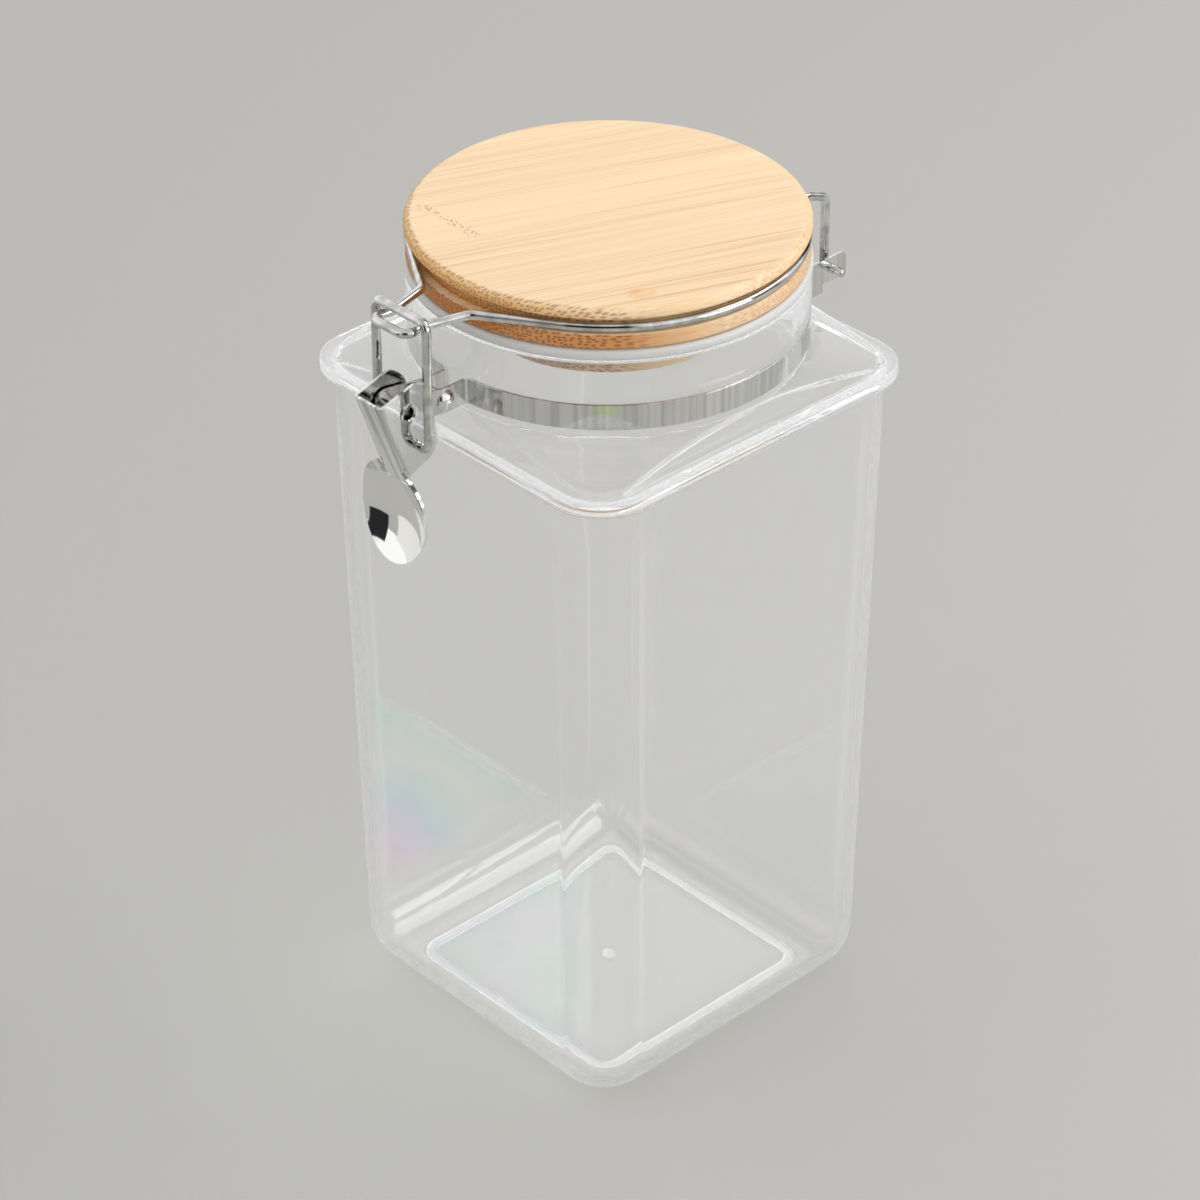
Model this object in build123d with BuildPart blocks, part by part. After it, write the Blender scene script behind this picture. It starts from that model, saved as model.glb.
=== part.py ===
# Square clear canister with a bamboo clip-top lid.
#
# Millimetres. The origin is the centre of the base, on the surface the canister stands on.
# +Z is up, -Y is the front with the clamp, +Y is the back with the hinge.
#
# The jar is two clear mouldings bonded at their rims: a square body with a large round
# along its bottom edge, and a conical shoulder that carries the round neck.
# A steel band below the neck's lip holds the clamp in front and the hinge behind.
# The lid is one turned bamboo piece. A sprung wire lies in its groove, runs back to the
# hinge and forward to a small loop, and the clamp's link pulls that loop down.
from build123d import *
from math import atan2, cos, degrees, radians, sin, sqrt, tan
import os

os.makedirs("parts", exist_ok=True)

# Rims, bonded face to face: the widest part of the jar
rim_half = 57.5
rim_corner = 15.2
rim_bottom = 193.0
body_rim_thickness = 1.5
shoulder_rim_thickness = 1.5
rim_edge_round = 0.4

# Body moulding, measured in from the rims and up from the ground
rim_overhang = 2.4
body_draft = 2.7
body_corner = 15.5
body_wall = 2.2
base_round = 13.5
foot_height = 0.8
foot_inset = 0.7
foot_width = 2.6
foot_corner = 7.0
gate_radius = 2.2
gate_height = 0.5

# Shoulder deck: a cone cut square by four drafted sides
deck_step = 4.1
deck_draft = 1.6
deck_height = 7.0
deck_corner = 9.7
deck_slope = 17.0
deck_edge_round = 1.4
shoulder_wall = 2.3

# Neck and lip
seat_radius = 51.35
neck_wall = 2.65
lip_step = 0.75
lip_height = 12.1
lip_bead = 0.35
neck_edge_round = 0.7

# Neck band and its front ears
band_width = 7.0
band_thickness = 0.7
band_rise = 2.0
band_lip_gap = 0.4
band_seat_gap = 0.04
ear_outer = 3.8
ear_bend = 0.8

# Clamp: the pivot stands out from the rims and above the band's middle, the rivet from the neck
pivot_reach = 14.8
pivot_rise = 2.1
rivet_reach = 7.65
rivet_radius = 1.6
rivet_head_radius = 2.85
rivet_head_height = 1.5
pivot_tube_radius = 2.05
pivot_tube_wall = 0.4
pivot_flare = 0.55
running_gap = 0.06
lever_end_gap = 0.05

# Lever, measured from its pivot
lever_wall = 0.8
lever_side_gap = 0.55
lever_bend = 1.2
lever_crown_radius = 7.8
web_top_reach = 9.0
web_top_rise = 4.4
web_foot_reach = 1.1
web_foot_drop = 18.1
link_pin_inset = 2.5
link_pin_drop = 10.0
link_lobe_radius = 6.5
spoon_half_width = 12.0
spoon_half_height = 14.5
spoon_sphere = 26.0
spoon_neck_length = 3.2
spoon_neck_lap = 0.4

# Wires
wire_radius = 1.22
link_bend = 2.4
link_pin_reach = 3.2
link_side_gap = 0.41
link_lean = 0.3
hook_gap = 0.5
ring_gap = 0.28
ring_rise = 0.48
bail_leave_angle = 56.5
bail_knee_half = 9.0
bail_waist_half = 5.5
bail_waist_inset = 1.8
bail_head_half = 6.65
bail_head_reach = 4.0
bail_knee_bend = 4.0
bail_waist_bend = 3.0
bail_head_bend = 2.4

# Hinge: the bail's ends turn in two raised ears, just inside the rims
hinge_inset = 1.3
hinge_rise = 2.5
hinge_half = 25.0
hinge_leg_gap = 1.1
hinge_end_reach = 4.6
hinge_root_lap = 1.7
hinge_tip_reach = 5.3
hinge_tip_round = 2.0
bail_back_drop = 2.5
bail_back_run = 2.0
bail_back_bend = 6.0
hinge_leg_bend = 3.0
hinge_foot_bend = 1.9

# Gasket
gasket_thickness = 2.8
gasket_overhang = 0.2
gasket_seat_gap = 0.05
gasket_bore_gap = 0.2
gasket_edge = 0.8

# Lid, measured in from the neck's lip
lid_inset = 0.1
lower_lip_inset = 0.3
lower_lip_height = 4.45
groove_depth = 2.8
groove_play = 1.86
upper_lip_height = 2.9
lid_top_round = 2.3
lip_round = 1.3
groove_edge_round = 0.5
plug_gap = 3.8
plug_taper = 5.1
plug_depth = 10.0
plug_end_edge = 0.8

# Heights of the jar
rim_joint = rim_bottom + body_rim_thickness
rim_top = rim_joint + shoulder_rim_thickness
neck_foot = rim_top + deck_height
band_bottom = neck_foot + band_rise
band_middle = band_bottom + band_width / 2
lip_bottom = band_bottom + band_width + band_lip_gap
neck_top = lip_bottom + lip_height
gasket_bottom = neck_top + gasket_seat_gap
lid_bottom = gasket_bottom + gasket_thickness
groove_bottom = lid_bottom + lower_lip_height
groove_top = groove_bottom + 2 * wire_radius + groove_play
lid_top = groove_top + upper_lip_height
wire_z = groove_bottom + wire_radius + ring_rise
pivot_z = band_middle + pivot_rise
hinge_z = band_middle + hinge_rise

# Widths and radii of the jar and lid
body_half_top = rim_half - rim_overhang
body_half_base = body_half_top - body_draft
foot_half = body_half_base - base_round - foot_inset
deck_half_foot = rim_half - deck_step
deck_half_top = deck_half_foot - deck_draft
neck_bore_radius = seat_radius - neck_wall
lip_radius = seat_radius + lip_step
band_inner = seat_radius + band_seat_gap
band_outer = band_inner + band_thickness
lid_radius = lip_radius - lid_inset
lower_lip_radius = lid_radius - lower_lip_inset
groove_radius = lid_radius - groove_depth
ring_radius = groove_radius + wire_radius + ring_gap
plug_radius = neck_bore_radius - plug_gap
plug_end_radius = plug_radius - plug_taper
gasket_radius = lip_radius + gasket_overhang
gasket_bore = plug_radius + gasket_bore_gap

# Places of the clamp and hinge
pivot_y = -(rim_half + pivot_reach)
rivet_y = -(seat_radius + rivet_reach)
hinge_y = rim_half - hinge_inset
ear_inner = ear_outer - band_thickness
lever_inner = ear_outer + lever_side_gap
lever_outer = lever_inner + lever_wall
link_pin_y = pivot_y + link_pin_inset
link_pin_z = pivot_z - link_pin_drop
link_half = bail_head_half + 2 * wire_radius + link_side_gap
link_bar_y = link_pin_y + link_lean
link_bar_z = wire_z + 2 * wire_radius + hook_gap


def square(half, corner):
    """A rounded square outline centred on the axis."""
    return RectangleRounded(2 * half, 2 * half, corner)


def drafted_block(wide, narrow, corner, wide_z, narrow_z):
    """A rounded square block that draws in from its wide end to its narrow end."""
    depth = abs(narrow_z - wide_z)
    with BuildPart() as block:
        with BuildSketch(Plane(origin=(0, 0, wide_z), z_dir=(0, 0, narrow_z - wide_z))):
            Rectangle(2 * wide, 2 * wide)
        extrude(amount=depth, taper=degrees(atan2(wide - narrow, depth)))
        fillet(block.edges().filter_by(lambda edge: abs(edge.tangent_at(0.5).Z) > 0.9), corner)
    return block.part


def rim_plate(bottom, thickness, outer_face):
    """A flat rim whose outer face, by its place in height, has a rounded edge."""
    with BuildPart() as plate:
        with BuildSketch(Plane.XY.offset(bottom)):
            square(rim_half, rim_corner)
        extrude(amount=thickness)
        fillet(plate.faces().sort_by(Axis.Z)[outer_face].edges(), rim_edge_round)
    return plate.part


def around(centre, radius, angle):
    """The point at an angle in degrees on a circle."""
    return (centre[0] + radius * cos(radians(angle)), centre[1] + radius * sin(radians(angle)))


# Body: a drafted square tub with a foot ring and a moulding gate under its floor
cavity_floor = foot_height + body_wall
cavity_half_top = body_half_top - body_wall
cavity_half_base = body_half_base - body_wall
cavity_corner = body_corner - body_wall
with BuildPart() as body_cavity:
    add(drafted_block(cavity_half_top, cavity_half_base, cavity_corner, rim_joint, cavity_floor))
    fillet(body_cavity.faces().sort_by(Axis.Z)[0].edges(), base_round - body_wall)

with BuildPart() as body_shell:
    add(drafted_block(body_half_top, body_half_base, body_corner, rim_bottom, foot_height))
    fillet(body_shell.faces().sort_by(Axis.Z)[0].edges(), base_round)
    add(rim_plate(rim_bottom, body_rim_thickness, 0))
    add(body_cavity.part, mode=Mode.SUBTRACT)
    with BuildSketch(Plane.XY):
        square(foot_half, foot_corner)
        offset(amount=-foot_width, mode=Mode.SUBTRACT)
    extrude(amount=foot_height)
    with BuildSketch(Plane.XY.offset(foot_height - gate_height)):
        Circle(gate_radius)
    extrude(amount=gate_height)
body_shell.part.label = "body_shell"
export_step(body_shell.part, "parts/body_shell.step")


def deck(inset):
    """The drafted deck under its shallow cone, all faces brought in by inset."""
    with BuildPart() as block:
        half_foot = deck_half_foot - inset
        half_top = deck_half_top - inset
        add(drafted_block(half_foot, half_top, deck_corner - inset, rim_joint, neck_foot))
        flat_radius = seat_radius - deck_edge_round
        reach = rim_half * sqrt(2)
        cone_top = neck_foot - inset
        cone_foot = cone_top - (reach - flat_radius) * tan(radians(deck_slope))
        with BuildSketch(Plane.XZ):
            with BuildLine():
                Polyline(
                    (0, 0),
                    (reach, 0),
                    (reach, cone_foot),
                    (flat_radius, cone_top),
                    (0, cone_top),
                    close=True,
                )
            make_face()
        revolve(axis=Axis.Z, mode=Mode.INTERSECT)
    return block.part


# Shoulder and neck: the deck, its rim and a lipped round neck
with BuildPart() as shoulder_neck:
    add(deck(0))
    crown = shoulder_neck.edges().filter_by(lambda edge: edge.center().Z > rim_top)
    arris = crown.filter_by(lambda edge: edge.geom_type not in (GeomType.LINE, GeomType.CIRCLE))
    fillet(arris, deck_edge_round)
    add(rim_plate(rim_joint, shoulder_rim_thickness, -1))
    with BuildSketch(Plane.XZ):
        with BuildLine():
            Polyline(
                (0, rim_top),
                (seat_radius, rim_top),
                (seat_radius, lip_bottom - lip_bead),
                (lip_radius, lip_bottom),
                (lip_radius, neck_top - neck_edge_round),
                (lip_radius - neck_edge_round, neck_top),
                (0, neck_top),
                close=True,
            )
        make_face()
    revolve(axis=Axis.Z)
    add(deck(shoulder_wall), mode=Mode.SUBTRACT)
    with BuildSketch(Plane.XY.offset(rim_joint)):
        Circle(neck_bore_radius)
    extrude(amount=neck_top - rim_joint, mode=Mode.SUBTRACT)
shoulder_neck.part.label = "shoulder_neck"
export_step(shoulder_neck.part, "parts/shoulder_neck.step")

# Neck band: a flat strip round the neck whose ends turn forward as two ears that rise to the pivot
ear_tip_y = pivot_y - band_width / 2
ear_root_y = -seat_radius + ear_outer
ear_length = ear_root_y - ear_tip_y
with BuildPart() as neck_band:
    with BuildSketch(Plane.XY.offset(band_bottom)) as strip:
        Circle(band_outer)
        with Locations((0, ear_root_y - ear_length / 2)):
            Rectangle(2 * ear_outer, ear_length)
        Circle(band_inner, mode=Mode.SUBTRACT)
        with Locations((0, ear_root_y - ear_length / 2)):
            Rectangle(2 * ear_inner, ear_length, mode=Mode.SUBTRACT)
        roots = strip.vertices().filter_by(lambda point: point.Y > ear_tip_y + band_width)
        hollows = roots.filter_by(lambda point: abs(abs(point.X) - ear_outer) < 0.01)
        fillet(hollows, ear_bend)
        roots = strip.vertices().filter_by(lambda point: point.Y > ear_tip_y + band_width)
        knuckles = roots.filter_by(lambda point: abs(abs(point.X) - ear_inner) < 0.01)
        fillet(knuckles, ear_bend + band_thickness)
    extrude(amount=band_width + pivot_rise)
    ear_run = sqrt((pivot_y - rivet_y) ** 2 + pivot_rise**2)
    ear_tilt = degrees(atan2(pivot_rise, pivot_y - rivet_y))
    with BuildSketch(Plane.YZ.offset(-band_outer)):
        with Locations(((rivet_y + band_outer) / 2, band_middle)):
            Rectangle(band_outer - rivet_y, band_width)
        with Locations(((pivot_y + rivet_y) / 2, (pivot_z + band_middle) / 2)):
            SlotCenterToCenter(ear_run, band_width, rotation=ear_tilt)
    extrude(amount=2 * band_outer, mode=Mode.INTERSECT)
    with BuildSketch(Plane.YZ.offset(-ear_outer)):
        with Locations((pivot_y, pivot_z)):
            Circle(pivot_tube_radius + running_gap)
        with Locations((rivet_y, band_middle)):
            Circle(rivet_radius + running_gap)
    extrude(amount=2 * ear_outer, mode=Mode.SUBTRACT)
neck_band.part.label = "neck_band"
export_step(neck_band.part, "parts/neck_band.step")

# Band rivet: a domed rivet that closes the band on the neck
rivet_face = ear_outer + running_gap
rivet_crown = rivet_face + rivet_head_height
rivet_dome = (rivet_head_radius**2 + rivet_head_height**2) / (2 * rivet_head_height)
with BuildPart() as band_rivet:
    with BuildSketch(Plane.XY.offset(band_middle)):
        with BuildLine():
            Polyline(
                (rivet_crown, rivet_y),
                (0, rivet_y),
                (0, rivet_y + rivet_radius),
                (rivet_face, rivet_y + rivet_radius),
                (rivet_face, rivet_y + rivet_head_radius),
            )
            RadiusArc(
                (rivet_crown, rivet_y),
                (rivet_face, rivet_y + rivet_head_radius),
                -rivet_dome,
            )
        make_face()
    revolve(axis=Axis((0, rivet_y, band_middle), (1, 0, 0)))
    mirror(about=Plane.YZ)
band_rivet.part.label = "band_rivet"
export_step(band_rivet.part, "parts/band_rivet.step")

# Lever pivot: a flared tube through the ears, on which the lever's cheeks turn
tube_end = lever_outer + lever_end_gap
tube_bore = pivot_tube_radius - pivot_tube_wall
flare_end = tube_end + pivot_tube_wall
with BuildPart() as lever_pivot:
    with BuildSketch(Plane.XY.offset(pivot_z)):
        with BuildLine():
            Polyline(
                (0, pivot_y + tube_bore),
                (0, pivot_y + pivot_tube_radius),
                (tube_end, pivot_y + pivot_tube_radius),
                (tube_end, pivot_y + pivot_tube_radius + pivot_flare),
                (flare_end, pivot_y + pivot_tube_radius + pivot_flare),
                (flare_end, pivot_y + pivot_tube_radius),
                (tube_end, pivot_y + tube_bore),
                close=True,
            )
        make_face()
    revolve(axis=Axis((0, pivot_y, pivot_z), (1, 0, 0)))
    mirror(about=Plane.YZ)
lever_pivot.part.label = "lever_pivot"
export_step(lever_pivot.part, "parts/lever_pivot.step")

# Lever, side view: a sloping web in front, a crown round the pivot, a lobe round the link's pin
pivot = (pivot_y, pivot_z)
link_pin = (link_pin_y, link_pin_z)
web_top = (pivot_y - web_top_reach, pivot_z + web_top_rise)
web_foot = (pivot_y - web_foot_reach, pivot_z - web_foot_drop)
web_length = sqrt((web_top[0] - web_foot[0]) ** 2 + (web_top[1] - web_foot[1]) ** 2)
web_lean = degrees(atan2(web_top[1] - web_foot[1], web_top[0] - web_foot[0]))
channel_top = around(around(web_top, lever_wall, web_lean - 90), web_length, web_lean)
channel_foot = around(around(web_foot, lever_wall, web_lean - 90), web_length, web_lean + 180)
cheek_foot = around(web_foot, 2 * lever_wall, web_lean - 90)

# Thumb tab: a dished oval, hollow side to the front, whose dish runs on from the web without a kink
neck_start = around(web_foot, lever_wall / 2, web_lean - 90)
neck_end = around(neck_start, spoon_neck_length, web_lean + 180)
spoon_focus = around(neck_end, spoon_sphere - lever_wall / 2, web_lean + 90)
with BuildPart() as thumb_tab:
    Sphere(spoon_sphere)
    Sphere(spoon_sphere - lever_wall, mode=Mode.SUBTRACT)
    with BuildSketch(Plane.XZ):
        Ellipse(spoon_half_width, spoon_half_height)
        with Locations((0, neck_end[1] - spoon_focus[1] + spoon_half_height / 2)):
            Rectangle(2 * (lever_outer - spoon_neck_lap), spoon_half_height, mode=Mode.SUBTRACT)
    extrude(amount=-2 * spoon_sphere, mode=Mode.INTERSECT)

with BuildPart() as lever:
    with BuildSketch(Plane.YZ.offset(-lever_outer)):
        with BuildLine():
            Line(cheek_foot, web_foot)
            Line(web_foot, web_top)
            Line(web_top, around(pivot, lever_crown_radius, 75))
            ThreePointArc(
                around(pivot, lever_crown_radius, 75),
                around(pivot, lever_crown_radius, 35),
                around(pivot, lever_crown_radius, -5),
            )
            Line(around(pivot, lever_crown_radius, -5), around(link_pin, link_lobe_radius, 5))
            ThreePointArc(
                around(link_pin, link_lobe_radius, 5),
                around(link_pin, link_lobe_radius, -25),
                around(link_pin, link_lobe_radius, -55),
            )
            Line(around(link_pin, link_lobe_radius, -55), cheek_foot)
        make_face()
    extrude(amount=2 * lever_outer)
    fillet(lever.edges().filter_by(lambda edge: abs(edge.length - web_length) < 0.01), lever_bend)
    with BuildSketch(Plane.YZ.offset(-lever_inner)):
        with BuildLine():
            Polyline(
                channel_foot,
                channel_top,
                around(channel_top, web_length, 0),
                around(channel_foot, web_length, 0),
                close=True,
            )
        make_face()
    extrude(amount=2 * lever_inner, mode=Mode.SUBTRACT)
    with BuildSketch(Plane.YZ.offset(-lever_outer)):
        with Locations(pivot):
            Circle(pivot_tube_radius + running_gap)
        with Locations(link_pin):
            Circle(wire_radius + running_gap)
    extrude(amount=2 * lever_outer, mode=Mode.SUBTRACT)
    with BuildSketch(Plane.YZ.offset(-lever_outer)):
        with BuildLine():
            Line(around(neck_start, lever_wall / 2, web_lean), neck_end)
        trace(line_width=lever_wall)
    extrude(amount=2 * lever_outer)
    add(thumb_tab.part.moved(Location((0, spoon_focus[0], spoon_focus[1]))))
lever.part.label = "lever"
export_step(lever.part, "parts/lever.step")

# Link: a wire stirrup pinned in the lever's cheeks, whose bar lies over the bail's arms
with BuildPart() as link_wire:
    with BuildLine() as link_path:
        FilletPolyline(
            (link_pin_reach, link_pin_y, link_pin_z),
            (link_half, link_pin_y, link_pin_z),
            (link_half, link_bar_y, link_bar_z),
            (-link_half, link_bar_y, link_bar_z),
            (-link_half, link_pin_y, link_pin_z),
            (-link_pin_reach, link_pin_y, link_pin_z),
            radius=link_bend,
        )
    with BuildSketch(Plane(link_path.wire() @ 0, z_dir=link_path.wire() % 0)):
        Circle(wire_radius)
    sweep()
link_wire.part.label = "link_wire"
export_step(link_wire.part, "parts/link_wire.step")

# Bail wire: one sprung wire from a hinge end, round the groove and the front loop, to the other
leave_x = ring_radius * cos(radians(bail_leave_angle))
leave_y = -ring_radius * sin(radians(bail_leave_angle))
knee_y = leave_y - (leave_x - bail_knee_half) / tan(radians(bail_leave_angle))
waist_y = link_bar_y + bail_waist_inset
head_y = link_bar_y - bail_head_reach
leg_x = hinge_half - band_thickness / 2 - hinge_leg_gap - wire_radius
leg_z = wire_z - bail_back_drop
bend_x = leg_x + hinge_leg_bend
bend_y = sqrt((ring_radius + hinge_leg_bend) ** 2 - bend_x**2)
ring_share = ring_radius / (ring_radius + hinge_leg_bend)
hinge_end = hinge_half + hinge_end_reach
with BuildPart() as bail_wire:
    with BuildLine() as bail_path:
        FilletPolyline(
            (hinge_end, hinge_y, hinge_z),
            (leg_x, hinge_y, hinge_z),
            (leg_x, hinge_y, leg_z),
            (leg_x, bend_y + bail_back_run, wire_z),
            (leg_x, bend_y, wire_z),
            radius=[hinge_foot_bend, hinge_leg_bend, bail_back_bend],
        )
        TangentArc(
            (leg_x, bend_y, wire_z),
            (bend_x * ring_share, bend_y * ring_share, wire_z),
            tangent=(0, -1, 0),
        )
        ThreePointArc(
            (bend_x * ring_share, bend_y * ring_share, wire_z),
            (ring_radius, 0, wire_z),
            (leave_x, leave_y, wire_z),
        )
        FilletPolyline(
            (leave_x, leave_y, wire_z),
            (bail_knee_half, knee_y, wire_z),
            (bail_waist_half, waist_y, wire_z),
            (bail_head_half, head_y, wire_z),
            (-bail_head_half, head_y, wire_z),
            (-bail_waist_half, waist_y, wire_z),
            (-bail_knee_half, knee_y, wire_z),
            (-leave_x, leave_y, wire_z),
            radius=[
                bail_knee_bend,
                bail_waist_bend,
                bail_head_bend,
                bail_head_bend,
                bail_waist_bend,
                bail_knee_bend,
            ],
        )
        ThreePointArc(
            (-leave_x, leave_y, wire_z),
            (-ring_radius, 0, wire_z),
            (-bend_x * ring_share, bend_y * ring_share, wire_z),
        )
        TangentArc(
            (-leg_x, bend_y, wire_z),
            (-bend_x * ring_share, bend_y * ring_share, wire_z),
            tangent=(0, -1, 0),
        )
        FilletPolyline(
            (-leg_x, bend_y, wire_z),
            (-leg_x, bend_y + bail_back_run, wire_z),
            (-leg_x, hinge_y, leg_z),
            (-leg_x, hinge_y, hinge_z),
            (-hinge_end, hinge_y, hinge_z),
            radius=[bail_back_bend, hinge_leg_bend, hinge_foot_bend],
        )
    with BuildSketch(Plane(bail_path.wire() @ 0, z_dir=bail_path.wire() % 0)):
        Circle(wire_radius)
    sweep()
bail_wire.part.label = "bail_wire"
export_step(bail_wire.part, "parts/bail_wire.step")

# Hinge bracket: a strip behind the neck whose ends turn back as two raised ears
bracket_inner = band_outer + band_seat_gap
bracket_outer = bracket_inner + band_thickness
hinge_ear_inner = hinge_half - band_thickness / 2
hinge_ear_outer = hinge_half + band_thickness / 2
hinge_tip_y = hinge_y + hinge_tip_reach
hinge_root_y = sqrt(bracket_inner**2 - hinge_ear_inner**2)
hinge_elbow_y = sqrt(bracket_outer**2 - hinge_ear_inner**2)
with BuildPart() as hinge_bracket:
    with BuildSketch(Plane.XY.offset(band_bottom)) as strip:
        Circle(bracket_outer)
        Circle(bracket_inner, mode=Mode.SUBTRACT)
        with Locations((0, bracket_outer)):
            Rectangle(2 * hinge_ear_outer, bracket_outer, mode=Mode.INTERSECT)
        for side in (-1, 1):
            with Locations((side * hinge_half, (hinge_root_y + bracket_outer) / 2)):
                Rectangle(band_thickness, bracket_outer - hinge_root_y)
        elbows = strip.vertices().filter_by(lambda point: abs(point.Y - hinge_elbow_y) < 0.01)
        fillet(elbows, ear_bend)
    extrude(amount=band_width)
    ear_start_y = hinge_root_y + hinge_root_lap
    for side in (-1, 1):
        with BuildSketch(Plane.YZ.offset(side * hinge_half - band_thickness / 2)) as ear:
            with Locations(((ear_start_y + hinge_tip_y) / 2, hinge_z)):
                Rectangle(hinge_tip_y - ear_start_y, band_width)
            fillet(ear.vertices().group_by(Axis.X)[-1], hinge_tip_round)
        extrude(amount=band_thickness)
    with BuildSketch(Plane.YZ.offset(-hinge_ear_outer)):
        with Locations((hinge_y, hinge_z)):
            Circle(wire_radius + running_gap)
    extrude(amount=2 * hinge_ear_outer, mode=Mode.SUBTRACT)
hinge_bracket.part.label = "hinge_bracket"
export_step(hinge_bracket.part, "parts/hinge_bracket.step")

# Gasket: a soft ring between the lid and the neck's top
with BuildPart() as gasket:
    with BuildSketch(Plane.XZ) as gasket_outline:
        with Locations(((gasket_bore + gasket_radius) / 2, (gasket_bottom + lid_bottom) / 2)):
            Rectangle(gasket_radius - gasket_bore, gasket_thickness)
        chamfer(gasket_outline.vertices().group_by(Axis.X)[-1], gasket_edge)
    revolve(axis=Axis.Z)
gasket.part.label = "gasket"
export_step(gasket.part, "parts/gasket.step")

# Lid: one turned bamboo piece with a tapered plug, two lips and a groove for the wire
plug_bottom = neck_top - plug_depth
with BuildPart() as bamboo_lid:
    with BuildSketch(Plane.XZ) as lid_outline:
        with BuildLine():
            Polyline(
                (0, plug_bottom),
                (plug_end_radius, plug_bottom),
                (plug_radius, gasket_bottom),
                (plug_radius, lid_bottom),
                (lower_lip_radius, lid_bottom),
                (lower_lip_radius, groove_bottom),
                (groove_radius, groove_bottom),
                (groove_radius, groove_top),
                (lid_radius, groove_top),
                (lid_radius, lid_top),
                (0, lid_top),
                close=True,
            )
        make_face()
        rim = lid_outline.vertices().group_by(Axis.X)[-1]
        fillet(rim.sort_by(Axis.Y)[-1:], lid_top_round)
        chamfer(rim.sort_by(Axis.Y)[:1], groove_edge_round)
        lips = lid_outline.vertices().filter_by(lambda point: abs(point.X - lower_lip_radius) < 0.01)
        fillet(lips.sort_by(Axis.Y)[:1], lip_round)
        chamfer(lips.sort_by(Axis.Y)[-1:], groove_edge_round)
        ends = lid_outline.vertices().filter_by(lambda point: abs(point.X - plug_end_radius) < 0.01)
        chamfer(ends, plug_end_edge)
    revolve(axis=Axis.Z)
bamboo_lid.part.label = "bamboo_lid"
export_step(bamboo_lid.part, "parts/bamboo_lid.step")
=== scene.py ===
# %% [markdown]
# # Square clear canister with a bamboo clip-top lid
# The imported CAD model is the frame: every size and place in this file is the CAD's, in metres.
# Here each piece gets a finer surface where light shows every facet, and a finish of its own.

# %% Load the frame
import math
import bmesh
import bpy
import numpy as np
from mathutils import Matrix, Vector


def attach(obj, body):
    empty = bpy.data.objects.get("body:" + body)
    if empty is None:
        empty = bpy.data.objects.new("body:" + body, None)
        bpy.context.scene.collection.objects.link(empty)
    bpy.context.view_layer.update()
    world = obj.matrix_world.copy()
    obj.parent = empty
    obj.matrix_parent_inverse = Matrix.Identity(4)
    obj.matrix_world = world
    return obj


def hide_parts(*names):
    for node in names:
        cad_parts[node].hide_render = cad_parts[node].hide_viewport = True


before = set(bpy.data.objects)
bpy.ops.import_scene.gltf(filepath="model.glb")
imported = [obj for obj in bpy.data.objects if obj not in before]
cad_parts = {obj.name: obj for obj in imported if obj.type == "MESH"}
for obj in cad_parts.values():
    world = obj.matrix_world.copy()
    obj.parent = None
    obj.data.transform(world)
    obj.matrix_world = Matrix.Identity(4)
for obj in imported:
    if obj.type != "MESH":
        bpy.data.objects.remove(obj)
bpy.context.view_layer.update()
print("nodes", list(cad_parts))

# %% [markdown]
# ## Camera
# The photograph looks down on the front right corner from a little over a metre away, with a
# long lens. Its direction is kept as an azimuth and an elevation.

# %% Camera
photo_width, focal_length = 1200.0, 4145.6  # both in the photograph's pixels
view_azimuth, view_elevation, view_roll = map(math.radians, (47.012, 33.191, -0.244))
view_distance = 1.12095
look_at = Vector((0, 0, 0.1085))
shift_right, shift_up = -0.002517, 0.010376
view_back = Vector((math.sin(view_azimuth) * math.cos(view_elevation),
                    -math.cos(view_azimuth) * math.cos(view_elevation),
                    math.sin(view_elevation)))
view_right = Vector((math.cos(view_azimuth), math.sin(view_azimuth), 0.0))
view_up = view_back.cross(view_right)
right = view_right * math.cos(view_roll) + view_up * math.sin(view_roll)
up = -view_right * math.sin(view_roll) + view_up * math.cos(view_roll)
camera_data = bpy.data.cameras.new("camera")
camera_data.sensor_width = 36.0
camera_data.lens = camera_data.sensor_width * focal_length / photo_width
camera_data.clip_start, camera_data.clip_end = 0.05, 20.0
camera = bpy.data.objects.new("camera", camera_data)
eye = look_at + right * shift_right + up * shift_up + view_back * view_distance
turn = Matrix((right, up, view_back)).transposed()
camera.matrix_world = Matrix.Translation(eye) @ turn.to_4x4()
bpy.context.scene.collection.objects.link(camera)
bpy.context.scene.camera = camera
print("eye", [round(v, 4) for v in eye], "lens", round(camera_data.lens, 1))

# %% [markdown]
# ## Node helpers
# A material is a small graph. The first helper adds a node, sets its values by name and links
# what it is given, so each material below reads as a list of what it mixes. The others are
# short names for what comes up often: a product, a fade between two values, a colour mix.

# %% Node helpers
def node(tree, kind, links=None, values=None, **settings):
    """Adds a shader node; links maps an input to an output, values an input to a constant."""
    made = tree.nodes.new(kind)
    for key, value in settings.items():
        setattr(made, key, value)
    for key, value in (values or {}).items():
        made.inputs[key].default_value = value
    for key, output in (links or {}).items():
        tree.links.new(output, made.inputs[key])
    return made


def new_material(name):
    """A material with an empty graph and its Principled shader."""
    material = bpy.data.materials.new(name)
    material.use_nodes = True
    tree = material.node_tree
    tree.nodes.clear()
    shader = node(tree, "ShaderNodeBsdfPrincipled")
    output = node(tree, "ShaderNodeOutputMaterial", {"Surface": shader.outputs["BSDF"]})
    return material, tree, shader, output


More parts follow.
